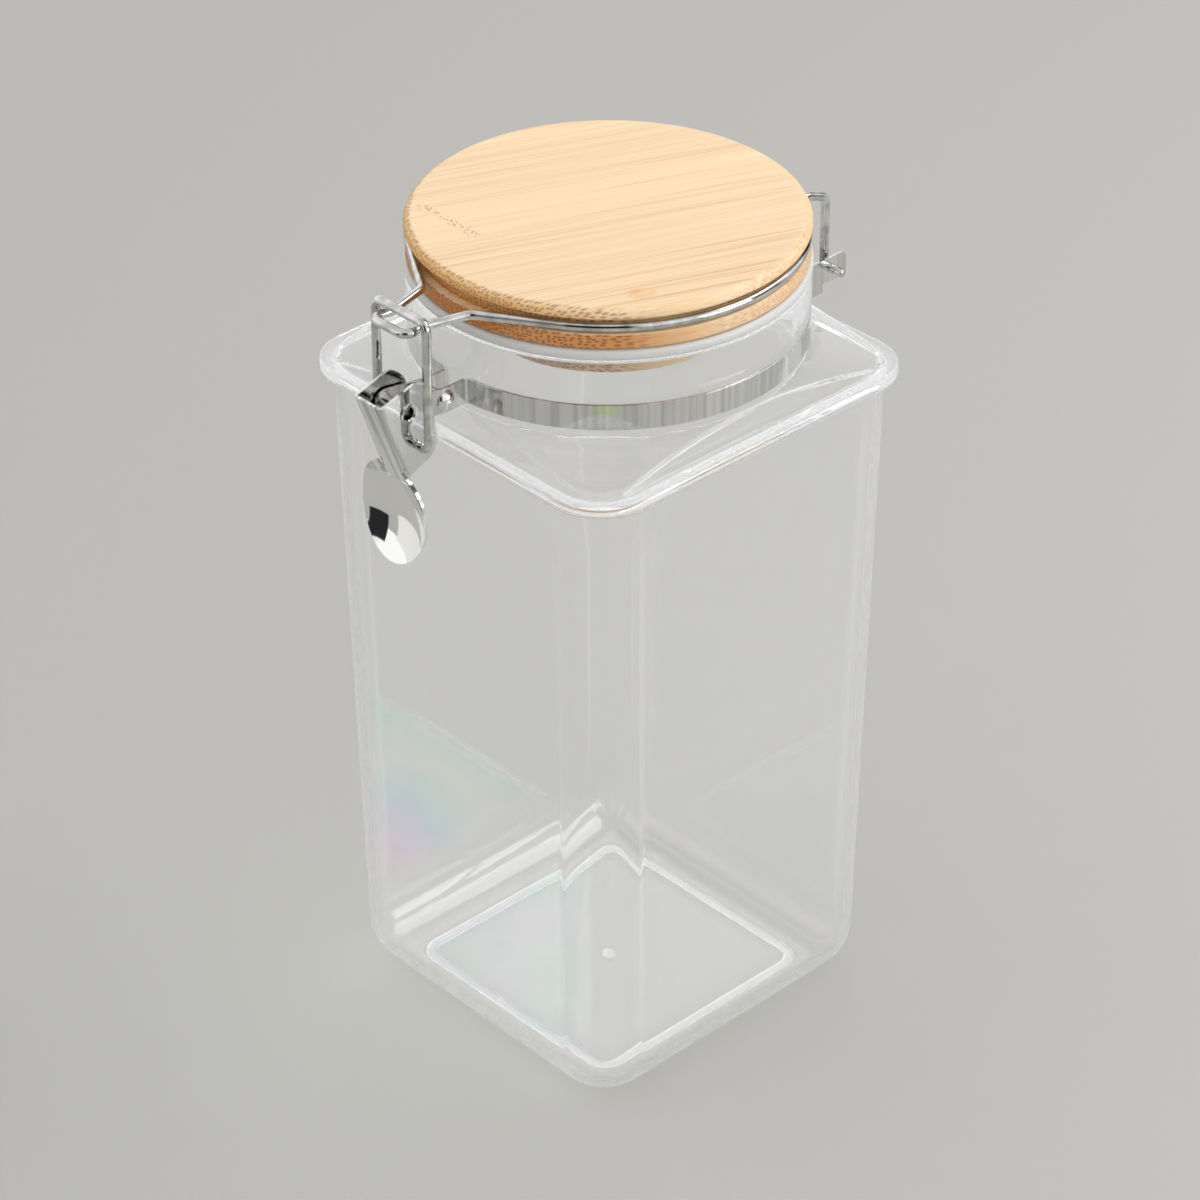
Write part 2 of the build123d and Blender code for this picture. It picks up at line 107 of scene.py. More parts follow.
def new_group(name, inputs, outputs):
    """An empty node group with sockets given as (label, kind), and what it is given."""
    group = bpy.data.node_groups.new(name, "ShaderNodeTree")
    for label, kind in inputs:
        group.interface.new_socket(label, in_out="INPUT", socket_type="NodeSocket" + kind)
    for label, kind in outputs:
        group.interface.new_socket(label, in_out="OUTPUT", socket_type="NodeSocket" + kind)
    return group, node(group, "NodeGroupInput").outputs

# %% Numbers in a node graph
def maths(tree, operation, *terms):
    """A Math node; each term is a number or another node's output."""
    made = node(tree, "ShaderNodeMath", operation=operation)
    for k, term in enumerate(terms):
        if isinstance(term, (int, float)):
            made.inputs[k].default_value = term
        else:
            tree.links.new(term, made.inputs[k])
    return made.outputs["Value"]


def times(tree, first, *others):
    """The product of all its terms."""
    for term in others:
        first = maths(tree, "MULTIPLY", first, term)
    return first


def apart(tree, value, level=0.0):
    """How far value lies from level, either way."""
    return maths(tree, "ABSOLUTE", maths(tree, "SUBTRACT", value, level))


def fade(tree, value, zero, one):
    """0 where value is at zero, 1 where it is at one, and held beyond both."""
    made = node(tree, "ShaderNodeMapRange", {"Value": value}, {"From Min": zero, "From Max": one})
    return made.outputs["Result"]


def ranged(tree, value, low, high):
    """Low where value is 0, high where it is 1, and held beyond both."""
    made = node(tree, "ShaderNodeMapRange", {"Value": value}, {"To Min": low, "To Max": high})
    return made.outputs["Result"]

# %% Vectors, textures and colours in a node graph
def xyz(tree, vector):
    """The three parts of a vector."""
    parts = node(tree, "ShaderNodeSeparateXYZ", {"Vector": vector}).outputs
    return parts["X"], parts["Y"], parts["Z"]


def stretched(tree, vector, scale):
    """A vector with each part scaled by its own number."""
    return node(tree, "ShaderNodeMapping", {"Vector": vector}, {"Scale": scale}).outputs["Vector"]


def noise(tree, vector, scale, detail):
    """Cloudy noise between 0 and 1."""
    made = node(tree, "ShaderNodeTexNoise", {"Vector": vector}, {"Scale": scale, "Detail": detail})
    return made.outputs["Fac"]


def bumped(tree, shader, height, strength, distance):
    """Gives a shader the normals of a height map."""
    relief = node(tree, "ShaderNodeBump", {"Height": height},
                  {"Strength": strength, "Distance": distance})
    tree.links.new(relief.outputs["Normal"], shader.inputs["Normal"])


def ramp(tree, factor, stops):
    """A colour ramp fed by factor, with stops as (position, colour)."""
    made = node(tree, "ShaderNodeValToRGB", {"Fac": factor})
    while len(made.color_ramp.elements) < len(stops):
        made.color_ramp.elements.new(0.5)
    for element, (position, colour) in zip(made.color_ramp.elements, stops):
        element.position = position
        element.color = (*colour, 1.0)
    return made.outputs["Color"]


def mixed(tree, factor, first, second):
    """A mix of two colours, each given as three numbers or as another node's output."""
    made = node(tree, "ShaderNodeMix", {"Factor": factor}, data_type="RGBA")
    for key, colour in (("A", first), ("B", second)):
        if isinstance(colour, tuple):
            made.inputs[key].default_value = (*colour, 1.0)
        else:
            tree.links.new(colour, made.inputs[key])
    return made.outputs["Result"]

# %% [markdown]
# ## Floor, world and lamps
# The object stands on a plain pale grey floor. Clear plastic and bright steel are made of
# reflections, so the room matters, and it isn't the same for every ray. Mirrored rays see a
# room of white panels with dark gaps, and a few cards that nothing else sees, because bright
# steel needs something dark to mirror. Rays mirrored inside the plastic see narrow bright and
# dim strips, which draw its edges as white and grey lines, and an even grey near the horizon.
# All other rays see a plain pale sky.

# %% Floor
def sheet(name, corners, colour, roughness):
    """A flat stage piece with its own plain material."""
    mesh = bpy.data.meshes.new(name)
    mesh.from_pydata(corners, [], [(0, 1, 2, 3)])
    piece = bpy.data.objects.new(name, mesh)
    bpy.context.scene.collection.objects.link(piece)
    material, _, shader, _ = new_material(name + "_surface")
    shader.inputs["Base Color"].default_value = (*colour, 1)
    shader.inputs["Roughness"].default_value = roughness
    shader.inputs["Specular IOR Level"].default_value = 0.2
    mesh.materials.append(material)
    return piece


floor_reach, floor_colour, floor_roughness = 4.0, (0.478, 0.473, 0.453), 0.75
floor_corners = [(x * floor_reach, y * floor_reach, 0)
                 for x, y in ((-1, -1), (1, -1), (1, 1), (-1, 1))]
floor = sheet("floor", floor_corners, floor_colour, floor_roughness)
print("floor", [round(v, 3) for v in floor.dimensions])

# %% Cards that only mirrored rays see
def card(name, centre, across, rise, colour):
    """A rectangle about centre, reaching across and rise to each side of it."""
    centre, across, rise = Vector(centre), Vector(across), Vector(rise)
    corners = [centre - across - rise, centre + across - rise,
               centre + across + rise, centre - across + rise]
    piece = sheet(name, corners, colour, 0.8)
    piece.visible_camera = piece.visible_diffuse = False
    piece.visible_transmission = piece.visible_shadow = False
    print(name, tuple(round(v, 3) for v in centre))


card("card_front", (-0.13, -0.665, 0.15), (0.13, 0.0, 0.0), (0.0, 0.0, 0.15),
     (0.015, 0.014, 0.018))
card("card_pale", (-0.40, -0.22, 0.09), (0.12, -0.22, 0.0), (0.0, 0.0, 0.09),
     (0.92, 0.91, 0.88))
card("card_green", (0.27, -0.256, 0.003), (0.029, 0.027, 0.0), (-0.05, 0.055, 0.0),
     (0.48, 0.56, 0.32))
card("card_right", (0.46, -0.02, 0.004), (0.03, 0.0, 0.0), (0.02, 0.12, 0.0),
     (0.16, 0.16, 0.15))

# %% World: sky and mirrored room
world = bpy.data.worlds.new("studio")
bpy.context.scene.world = world
world.use_nodes = True
tree = world.node_tree
tree.nodes.clear()
direction = node(tree, "ShaderNodeTexCoord").outputs["Generated"]
height = xyz(tree, direction)[2]
azimuth = node(tree, "ShaderNodeTexGradient", {"Vector": direction},
               gradient_type="RADIAL").outputs["Fac"]
sky = ramp(tree, height, [(0.0, (1.0, 1.0, 1.0)), (0.3, (0.95, 0.95, 0.95)),
                          (0.6, (0.88, 0.88, 0.88)), (1.0, (0.80, 0.80, 0.80))])
white, pale, dim, dark = ((v, v, v) for v in (1.08, 0.70, 0.18, 0.03))
panels = ramp(tree, azimuth, [
    (0.20, white), (0.24, pale), (0.29, pale), (0.32, dark), (0.41, dark), (0.44, white),
    (0.58, white), (0.61, dim), (0.66, dim), (0.69, white), (0.74, white), (0.76, dark),
    (0.80, dark), (0.82, white)])
mirrored_room = mixed(tree, fade(tree, height, 0.66, 0.80), panels, sky)
print("sky and mirrored room", len(tree.nodes), "nodes")

# %% World: what rays mirrored inside the plastic see
strip_levels = (1.6, 0.4, 1.4, 0.35, 1.7, 0.4, 1.3, 0.35, 1.6, 0.4, 1.8, 0.35, 1.4, 0.35, 1.6, 0.4)
strip_hues = ((1, 1, 1), (1, 0.99, 0.98), (1, 0.98, 1), (0.96, 1, 1)) * 4
strips = [(k / len(strip_levels), tuple(level * tint for tint in hue))
          for k, (level, hue) in enumerate(zip(strip_levels, strip_hues))]
horizon_grey = (0.62, 0.62, 0.62)
glow = mixed(tree, fade(tree, height, 0.28, 0.44), horizon_grey, ramp(tree, azimuth, strips))
path = node(tree, "ShaderNodeLightPath").outputs
inside = maths(tree, "GREATER_THAN", path["Transmission Depth"], 0.5)
outside = maths(tree, "SUBTRACT", 1.0, inside)
seen = mixed(tree, times(tree, path["Is Glossy Ray"], outside), sky, mirrored_room)
seen = mixed(tree, times(tree, path["Is Glossy Ray"], inside), seen, glow)
background = node(tree, "ShaderNodeBackground", {"Color": seen}, {"Strength": 1.0})
node(tree, "ShaderNodeOutputWorld", {"Surface": background.outputs["Background"]})
print("strips", len(strips), "world nodes", len(tree.nodes))

# %% Lamps and view transform
def softbox(name, place, target, width, depth, power):
    """A rectangular area lamp at place, aimed at target."""
    data = bpy.data.lights.new(name, "AREA")
    data.shape, data.size, data.size_y, data.energy = "RECTANGLE", width, depth, power
    lamp = bpy.data.objects.new(name, data)
    aim = (Vector(target) - Vector(place)).to_track_quat("-Z", "Y")
    lamp.matrix_world = Matrix.Translation(place) @ aim.to_matrix().to_4x4()
    bpy.context.scene.collection.objects.link(lamp)
    print(name, place, power, "watts")


softbox("back_window", (0.55, 1.05, 1.35), (0, 0, 0.1), 0.9, 0.8, 7.0)
softbox("side_window", (1.00, 0.40, 0.45), (0, 0, 0.2), 0.6, 0.45, 3.3)

bpy.context.scene.view_settings.view_transform = "Standard"

# %% [markdown]
# ## Surfaces on a grid
# Every new piece is a grid of points worked out with numpy: rows run along a profile and
# columns run round the piece. The grid goes into the mesh whole. Rows that shrink to a point
# are closed by merging, and edges sharper than an angle stay sharp under smooth shading.

# %% Grid helper
mm = 0.001
merge_within, shortest_edge = 2e-7, 1e-7  # metres


def grid_mesh(name, points, rows_close=False, sharp=35.0):
    """Mesh of a (rows, columns, 3) array in millimetres; columns always close on themselves."""
    rows, columns, _ = points.shape
    index = np.arange(rows * columns).reshape(rows, columns)
    lower = index if rows_close else index[:-1]
    upper = np.roll(index, -1, axis=0) if rows_close else index[1:]
    quads = np.stack([lower, np.roll(lower, -1, axis=1),
                      np.roll(upper, -1, axis=1), upper], axis=-1)
    mesh = bpy.data.meshes.new(name)
    mesh.from_pydata((points.reshape(-1, 3) * mm).tolist(), [], quads.reshape(-1, 4).tolist())
    return finish_mesh(name, mesh, sharp)


def finish_mesh(name, mesh, sharp):
    """Merges doubles, turns the faces outwards and shades smooth but for the sharp edges."""
    work = bmesh.new()
    work.from_mesh(mesh)
    bmesh.ops.remove_doubles(work, verts=work.verts, dist=merge_within)
    bmesh.ops.dissolve_degenerate(work, edges=work.edges, dist=shortest_edge)
    bmesh.ops.recalc_face_normals(work, faces=work.faces)
    open_edges = sum(1 for edge in work.edges if not edge.is_manifold)
    work.to_mesh(mesh)
    work.free()
    mesh.shade_smooth()
    mesh.set_sharp_from_angle(angle=math.radians(sharp))
    piece = bpy.data.objects.new(name, mesh)
    bpy.context.scene.collection.objects.link(piece)
    print(name, len(mesh.polygons), "faces,", open_edges, "open edges")
    return piece


def arc(centre, radius, start, end, count):
    """Points of an arc between two angles in degrees, as (count, 2)."""
    angle = np.radians(np.linspace(start, end, count))
    return np.stack([centre[0] + radius * np.cos(angle),
                     centre[1] + radius * np.sin(angle)], axis=1)


def spread(values, count):
    """Rows between the given rows: each gap of the profile is divided into count parts."""
    values = np.asarray(values, float)
    share = np.linspace(0, 1, count, endpoint=False)[None, :, None]
    between = values[:-1, None] * (1 - share) + values[1:, None] * share
    return np.vstack([between.reshape(-1, values.shape[1]), values[-1:]])

# %% [markdown]
# ## Body
# The body is a square tub, drafted, with round corners and a 13.5 mm round along its base.
# One row of the grid is a rounded square with its own half width, corner radius and height,
# so the whole tub, with its foot ring, its rim and its inside, is one list of such rows from
# the centre of the underside, up over the rim and down to the centre of the floor.

# %% Rounded squares
def rounded_square_rows(rows, side_points=20, corner_points=44):
    """Rows of (half, corner, z) as rounded squares: each corner is a quarter circle about its
    own centre, and the straight sides lie between the quarter circles."""
    half, corner, z = (np.asarray(rows, float)[:, k, None] for k in range(3))
    quarter = np.radians(np.linspace(0, 90, corner_points))[None]
    x = (half - corner) + corner * np.cos(quarter)
    y = (half - corner) + corner * np.sin(quarter)
    run = np.linspace(0, 1, side_points + 2)[1:-1][None]
    side_x = (half - corner) * (1 - 2 * run)
    side_y = half * np.ones_like(run)
    x, y = np.hstack([x, side_x]), np.hstack([y, side_y])
    turns = [(x, y), (-y, x), (-x, -y), (y, -x)]
    outline_x = np.hstack([t[0] for t in turns])
    outline_y = np.hstack([t[1] for t in turns])
    return np.stack([outline_x, outline_y, z * np.ones_like(outline_x)], axis=-1)

# %% Body shell
foot, floor_in, rim_low, rim_join = 0.8, 3.0, 193.0, 194.5
foot_half, wall_lean = 52.4, 2.7
wall_thickness, corner, inner_corner = 2.2, 15.5, 13.3
base_round, inner_base_round = 13.5, 11.3


def wall_half(z, inset=0.0):
    """Half width of the drafted wall at height z, wall_lean wider at the rim than at the foot."""
    return foot_half + wall_lean * (z - foot) / (rim_low - foot) - inset


def base_rows(radius, floor_z, corner, inset, count=26):
    """Rows of the round along the base, from the floor to the upright wall."""
    turn = np.radians(np.linspace(0, 90, count))
    drawn = radius * (1 - np.sin(turn))
    z = floor_z + radius * (1 - np.cos(turn))
    return np.stack([wall_half(z, inset) - drawn, corner - drawn, z], axis=1)


# Each row is (half width, corner radius, z). The foot ring stops a hair above the floor, so
# that its underside and the floor don't lie in one plane.
ring_in = [(35.0, 3.8, foot), (35.45, 4.25, foot - 0.12), (35.6, 4.4, 0.35), (35.75, 4.55, 0.1),
           (36.05, 4.85, 0.02)]
ring_out = [(37.75, 6.55, 0.02), (38.05, 6.85, 0.1), (38.2, 7.0, 0.35), (38.32, 7.1, 0.68),
            (38.6, 7.3, foot)]
gate = [(0, 0, 0.3), (1.9, 1.9, 0.3), (2.15, 2.15, 0.4), (2.2, 2.2, 0.75), (2.5, 2.5, foot)]
outer_wall = [(wall_half(z), corner, z) for z in np.linspace(16, 192.4, 14)]
rim_under = [(55.16, 15.5, 192.8), (55.4, 15.5, 192.97), (55.8, 15.45, rim_low),
             (57.0, 15.2, rim_low), (57.3, 15.2, 193.1), (57.45, 15.2, 193.3),
             (57.5, 15.2, 193.6), (57.5, 15.2, 194.3), (57.42, 15.15, 194.44),
             (57.25, 15.1, rim_join)]
rim_inner = [(53.1, 13.4, rim_join), (52.93, 13.3, 194.42), (52.88, 13.3, 194.2)]
inner_wall = [(wall_half(z, wall_thickness), inner_corner, z) for z in np.linspace(190, 17, 14)]
body_rows = np.vstack([
    gate, spread([(2.5, 2.5, foot), (35.0, 3.8, foot)], 6), ring_in, ring_out,
    [(38.75, 4.5, foot)], base_rows(base_round, foot, corner, 0.0), outer_wall, rim_under,
    rim_inner, inner_wall,
    base_rows(inner_base_round, floor_in, inner_corner, wall_thickness)[::-1],
    spread([(38.9, 2.0, floor_in), (12.0, 6.0, floor_in), (0, 0, floor_in)], 4)])
body = grid_mesh("body_clear", rounded_square_rows(body_rows), sharp=50)
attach(body, "jar")
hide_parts("body_shell")

# %% [markdown]
# ## Shoulder and neck
# The shoulder is a shallow cone cut square by four leaning sides, so each upper edge is an
# arch, high at mid side and low at the corner. Round the axis, every direction has its own
# profile: along the cone to where it meets the side, over a small round and down to the rim.
# That is easy with polar arrays: the radius of the rounded square is known for every angle.

# %% Shoulder outlines by angle
rim_half, rim_corner = 57.5, 15.2
outline = rounded_square_rows([(rim_half, rim_corner, 0)], side_points=112)[0]
around = np.arctan2(outline[:, 1], outline[:, 0])
octant = np.abs((around + np.pi / 4) % (np.pi / 2) - np.pi / 4)
slope = math.tan(math.radians(17))
deck_top, rim_top, cone_start = 203.0, 196.0, 49.95
side_half, side_corner, side_lean, side_rise = 51.8, 9.7, 1.6, 8.5
print("directions", len(around), "cone slope", round(slope, 4))


def square_radius(half, corner):
    """Distance from the axis to a rounded square, for every direction: the flat side where the
    ray meets it before the corner begins, and otherwise the corner's circle."""
    flat = half / np.cos(octant)
    middle = half - corner
    across = middle * (np.cos(octant) - np.sin(octant))
    along = middle * (np.cos(octant) + np.sin(octant))
    bend = along + np.sqrt(np.maximum(corner**2 - across**2, 0))
    return np.where(half * np.tan(octant) <= middle, flat, bend)

# %% Shoulder deck by angle
def deck_section(inset, bottom, edge_round, count):
    """Rows (radius, z) per direction, from the neck over the arch's round to the deck's foot.
    Cone and side meet where the cone's height at a radius and the side's radius at that height
    agree, found by going back and forth. The round's centre lies square to the cone, one
    radius away from the point where the round starts."""
    def side(z):
        leaning = side_half + side_lean * (deck_top - z) / side_rise
        return square_radius(leaning - inset, side_corner - inset)

    def cone(r):
        return deck_top - inset - np.maximum(r - cone_start, 0) * slope

    reach = side(deck_top - 2.0)
    for _ in range(6):
        reach = side(cone(reach))
    meet = np.stack([reach, cone(reach)], axis=-1)
    foot_point = np.stack([side(bottom), np.full_like(reach, bottom)], axis=-1)
    fall = foot_point - meet
    fall /= np.linalg.norm(fall, axis=-1, keepdims=True)
    along = np.stack([np.cos(np.arctan(slope)) * np.ones_like(reach),
                      -np.sin(np.arctan(slope)) * np.ones_like(reach)], axis=-1)
    bend = np.arccos(np.clip((along * fall).sum(axis=-1), -1, 1))
    start = meet - along * (edge_round * np.tan(bend / 2))[:, None]
    normal = np.stack([along[:, 1], -along[:, 0]], axis=-1)
    centre = start + normal * edge_round
    begin = np.arctan2(-normal[:, 1], -normal[:, 0])
    turn = begin - np.linspace(0, 1, count)[:, None] * bend
    round_rows = centre + edge_round * np.stack([np.cos(turn), np.sin(turn)], axis=-1)
    neck = np.full_like(reach, cone_start)
    first = np.stack([neck, cone(neck)], axis=-1)
    share = np.linspace(0, 1, 8)[:-1, None, None]
    cone_rows = first * (1 - share) + round_rows[0] * share
    share = np.linspace(0, 1, 4)[1:, None, None]
    side_rows = round_rows[-1] * (1 - share) + foot_point * share
    return np.concatenate([cone_rows, round_rows, side_rows])


def ring_rows(rows):
    """Rows of (radius, z) that are circles."""
    rows = np.asarray(rows, float)[:, None, :]
    return rows * np.ones((1, len(around), 1))


def square_rows(rows):
    """Rows of (half, corner, z) that are rounded squares."""
    return np.stack([np.stack([square_radius(h, c), np.full(len(around), z)], axis=-1)
                     for h, c, z in rows])


def join_root(rows, neck):
    """Lifts rows that lie inside the neck out to its surface."""
    rows = rows.copy()
    rows[..., 0] = np.maximum(rows[..., 0], neck)
    return rows

# %% Shoulder and neck
bond_z = rim_join + 0.03
neck_inner, neck_outer = 48.7, 51.35
neck_rows = np.vstack([
    [(neck_inner, z) for z in (200.7, 203.0, 208.0, 214.0, 223.9)],
    arc((49.3, 223.9), 0.6, 180, 90, 6), arc((51.4, 223.8), 0.7, 90, 0, 8),
    [(52.1, 221.0), (52.1, 217.0), (52.1, 213.2)], arc((51.6, 212.9), 0.5, 0, -70, 5),
    [(51.42, 212.15), (neck_outer, 211.8), (neck_outer, 208.0), (neck_outer, 203.6)]])
outer_deck = join_root(deck_section(0.0, rim_top + 0.5, 1.4, 12), neck_outer)
foot_rows = square_rows([(53.16, 9.7, 196.3), (53.3, 9.8, 196.1), (53.6, 10.0, rim_top)])
rim_rows = square_rows([(55.4, 12.6, rim_top), (57.0, 14.9, rim_top), (57.28, 15.1, 195.9),
                        (57.42, 15.15, 195.78), (57.5, 15.2, 195.5), (57.5, 15.2, 194.8),
                        (57.42, 15.15, 194.63), (57.25, 15.1, bond_z), (54.0, 11.0, bond_z),
                        (51.3, 7.5, bond_z)])
inner_deck = join_root(deck_section(2.3, bond_z + 0.2, 0.7, 6)[::-1], neck_inner + 0.3)
section = np.concatenate([ring_rows(neck_rows), outer_deck, foot_rows, rim_rows, inner_deck])
shoulder_points = np.stack([section[..., 0] * np.cos(around), section[..., 0] * np.sin(around),
                            section[..., 1]], axis=-1)
shoulder = grid_mesh("shoulder_clear", shoulder_points, rows_close=True, sharp=50)
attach(shoulder, "jar")
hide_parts("shoulder_neck")

# %% [markdown]
# ## Clear plastic
# Clear acrylic is glass with a lower index. Light that passes it still reaches the floor, so
# shadow rays see it as nearly transparent, or it would throw the dark shadow of solid glass.
# Light trapped in a real rim comes out again somewhere as white; here a ray that has been
# turned back three times ends on a painted white glow, an emission. A trace of haze stands for
# the fine flow marks, and a little more of it draws the seams of the corners, the foot and the
# stress colours, which are painted on as polarised light shows them.

# %% Clear plastic: glass with a faint ripple
clear, tree, shader, output = new_material("clear_acrylic")
shader.inputs["Base Color"].default_value = (1.0, 1.0, 1.0, 1)
shader.inputs["Roughness"].default_value = 0.0
shader.inputs["IOR"].default_value = 1.49
shader.inputs["Transmission Weight"].default_value = 1.0
place = node(tree, "ShaderNodeTexCoord").outputs["Object"]
ripple = node(tree, "ShaderNodeTexNoise", {"Vector": stretched(tree, place, (34, 34, 7))},
              {"Scale": 1.0, "Detail": 1.5, "Roughness": 0.4}).outputs["Fac"]
bumped(tree, shader, ripple, 0.022, 0.004)
print("clear_acrylic index", round(shader.inputs["IOR"].default_value, 3))

# %% Clear plastic: seams and foot
px, py, pz = xyz(tree, place)
far_x, far_y = apart(tree, px), apart(tree, py)
# The seam of each corner's round is where the wall's flat part ends, which the draft moves
# outwards with height.
draft, flat_at_base = 0.01405, 0.0369
flat_end = maths(tree, "MULTIPLY_ADD", pz, draft, flat_at_base)
off_seam = apart(tree, maths(tree, "MINIMUM", far_x, far_y), flat_end)
seam_line = times(tree, fade(tree, off_seam, 0.0008, 0.0002),
                  fade(tree, pz, 0.193, 0.175), fade(tree, pz, 0.014, 0.04))
foot_mark = fade(tree, pz, 0.00076, 0.00050)
print("seams start", flat_at_base / mm, "mm from the middle of each wall")

# %% Clear plastic: painted stress colours
# The plastic's stress is real, but its colours show only in polarised light, so they are painted
# on: a triangle low on the front wall, with a line along its upper edge, and the floor's left
# half.
front_wall = fade(tree, py, -0.0500, -0.0502)
over_slant = maths(tree, "SUBTRACT", maths(tree, "MULTIPLY_ADD", px, -1.03, pz), 0.066)
panel = times(tree, front_wall, fade(tree, px, -0.042, -0.032),
              fade(tree, pz, 0.1005, 0.0940), fade(tree, over_slant, -0.001, 0.010))
panel_edge = times(tree, front_wall, fade(tree, apart(tree, pz, 0.0995), 0.0009, 0.0003),
                   fade(tree, px, -0.022, -0.018), fade(tree, px, 0.034, 0.030))
left_half = fade(tree, maths(tree, "MULTIPLY_ADD", px, 0.93, py), 0.0, -0.022)
floor_tint = times(tree, fade(tree, pz, 0.0040, 0.0024), left_half,
                   fade(tree, maths(tree, "MAXIMUM", far_x, far_y), 0.0380, 0.0350))
drift = maths(tree, "MULTIPLY_ADD", noise(tree, place, 30.0, 1.0), 0.4, -0.16)
hue = maths(tree, "ADD", maths(tree, "MULTIPLY", pz, 10.0), drift)
stress_sheen_stops = [
    (0.0, (0.86, 0.80, 0.98)), (0.09, (0.60, 0.90, 0.82)), (0.30, (0.60, 0.76, 0.98)),
    (0.46, (1.0, 0.58, 0.76)), (0.58, (0.86, 0.62, 0.98)), (0.68, (0.50, 0.76, 0.98)),
    (0.76, (0.46, 0.90, 0.86)), (0.86, (0.92, 0.94, 0.84)), (0.97, (0.42, 0.92, 0.78))]
stress_sheen = ramp(tree, hue, stress_sheen_stops)
print("stress colours", len(stress_sheen_stops))

# %% Clear plastic: put together
haze_all, haze_lines, haze_tints, haze_foot = 0.025, 0.07, 0.095, 0.55
lines = maths(tree, "MULTIPLY_ADD", panel_edge, 2.4, seam_line)
tints = maths(tree, "MULTIPLY_ADD", floor_tint, 0.7, panel)
haze_amount = maths(tree, "MULTIPLY_ADD", lines, haze_lines, haze_all)
haze_amount = maths(tree, "MULTIPLY_ADD", tints, haze_tints, haze_amount)
haze_amount = maths(tree, "MULTIPLY_ADD", foot_mark, haze_foot, haze_amount)
# The painted stress colours tint the haze where the triangle, its edge line and the floor tint
# lie.
tinted_part = maths(tree, "MINIMUM", maths(tree, "ADD", panel, floor_tint), 1.0)
haze = node(tree, "ShaderNodeBsdfDiffuse",
            {"Color": mixed(tree, tinted_part, (0.95, 0.95, 0.96), stress_sheen)})
# Painted glow: after three mirrorings a ray ends on white emission, which stands in for light
# trapped in the rim; the plastic is no lamp.
painted_rim_glow = node(tree, "ShaderNodeEmission", values={"Color": (0.76, 0.77, 0.77, 1)})
see_through = node(tree, "ShaderNodeBsdfTransparent", values={"Color": (0.98, 0.985, 0.98, 1)})
path = node(tree, "ShaderNodeLightPath").outputs
late = maths(tree, "GREATER_THAN", path["Glossy Depth"], 2.5)
surface = shader.outputs["BSDF"]
for share, layer in ((haze_amount, haze.outputs["BSDF"]), (late, painted_rim_glow.outputs["Emission"]),
                     (path["Is Shadow Ray"], see_through.outputs["BSDF"])):
    surface = node(tree, "ShaderNodeMixShader", {0: share, 1: surface, 2: layer}).outputs["Shader"]
tree.links.new(surface, output.inputs["Surface"])
body.data.materials.append(clear)
shoulder.data.materials.append(clear)
print("clear_acrylic", len(tree.nodes), "nodes")

# %% [markdown]
# ## Turned pieces
# The gasket and the lid are turned: a profile of (radius, z) points is carried round the axis.

# %% Turning
def turned(name, profile, close, count=240, sharp=35.0):
    """Carries a profile of (radius, z) round the vertical axis: x = r cos, y = r sin."""
    profile = np.asarray(profile, float)
    angle = np.linspace(0, 2 * np.pi, count, endpoint=False)[None]
    radius, z = profile[:, 0, None], profile[:, 1, None]
    points = np.stack([radius * np.cos(angle), radius * np.sin(angle), z + 0 * angle], axis=-1)
    return grid_mesh(name, points, rows_close=close, sharp=sharp)

# %% Gasket
gasket_profile = np.vstack([
    arc((45.6, 225.05), 0.5, 270, 180, 6), arc((45.6, 226.85), 0.5, 180, 90, 6),
    [(48.5, 227.33)], arc((51.2, 226.23), 1.1, 90, 0, 9), arc((51.2, 225.67), 1.1, 0, -90, 9),
    [(48.5, 224.57)]])
gasket = turned("gasket_ring", gasket_profile, close=True)
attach(gasket, "lid")
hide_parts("gasket")

# %% Milky silicone
silicone, tree, shader, _ = new_material("milky_silicone")
shader.inputs["Base Color"].default_value = (0.62, 0.615, 0.60, 1)
shader.inputs["Subsurface Weight"].default_value = 0.5
shader.inputs["Subsurface Radius"].default_value = (0.002, 0.002, 0.0018)
shader.inputs["Subsurface Scale"].default_value = 1.0
shader.inputs["IOR"].default_value = 1.42
place = node(tree, "ShaderNodeTexCoord").outputs["Object"]
rough = ranged(tree, noise(tree, place, 260.0, 3.0), 0.28, 0.45)
tree.links.new(rough, shader.inputs["Roughness"])
gasket.data.materials.append(silicone)
print("milky_silicone", len(tree.nodes), "nodes")

# %% Lid
lid_profile = np.vstack([
    [(0, 214.5), (20.0, 214.5), (36.0, 214.5)], arc((39.2, 215.2), 0.7, 270, 340, 7),
    [(42.4, 219.3), (44.9, 224.5), (44.95, 227.2)], arc((45.2, 227.15), 0.2, 180, 90, 4),
    [(48.0, 227.36)], arc((50.4, 228.66), 1.3, 270, 360, 11), [(51.7, 230.2)],
    arc((51.2, 231.3), 0.5, 0, 90, 6), [(49.7, 231.8), (49.35, 231.9)],
    [(49.2, 232.15), (49.2, 234.0), (49.2, 235.75)], [(49.35, 236.0), (49.7, 236.1)],
    arc((51.5, 236.6), 0.5, 270, 360, 6), arc((49.7, 236.7), 2.3, 0, 90, 16),
    [(48.0, 239.0), (30.0, 239.0), (12.0, 239.0), (0, 239.0)]])
lid = turned("lid_bamboo", lid_profile, close=False, count=256)
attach(lid, "lid")
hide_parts("bamboo_lid")
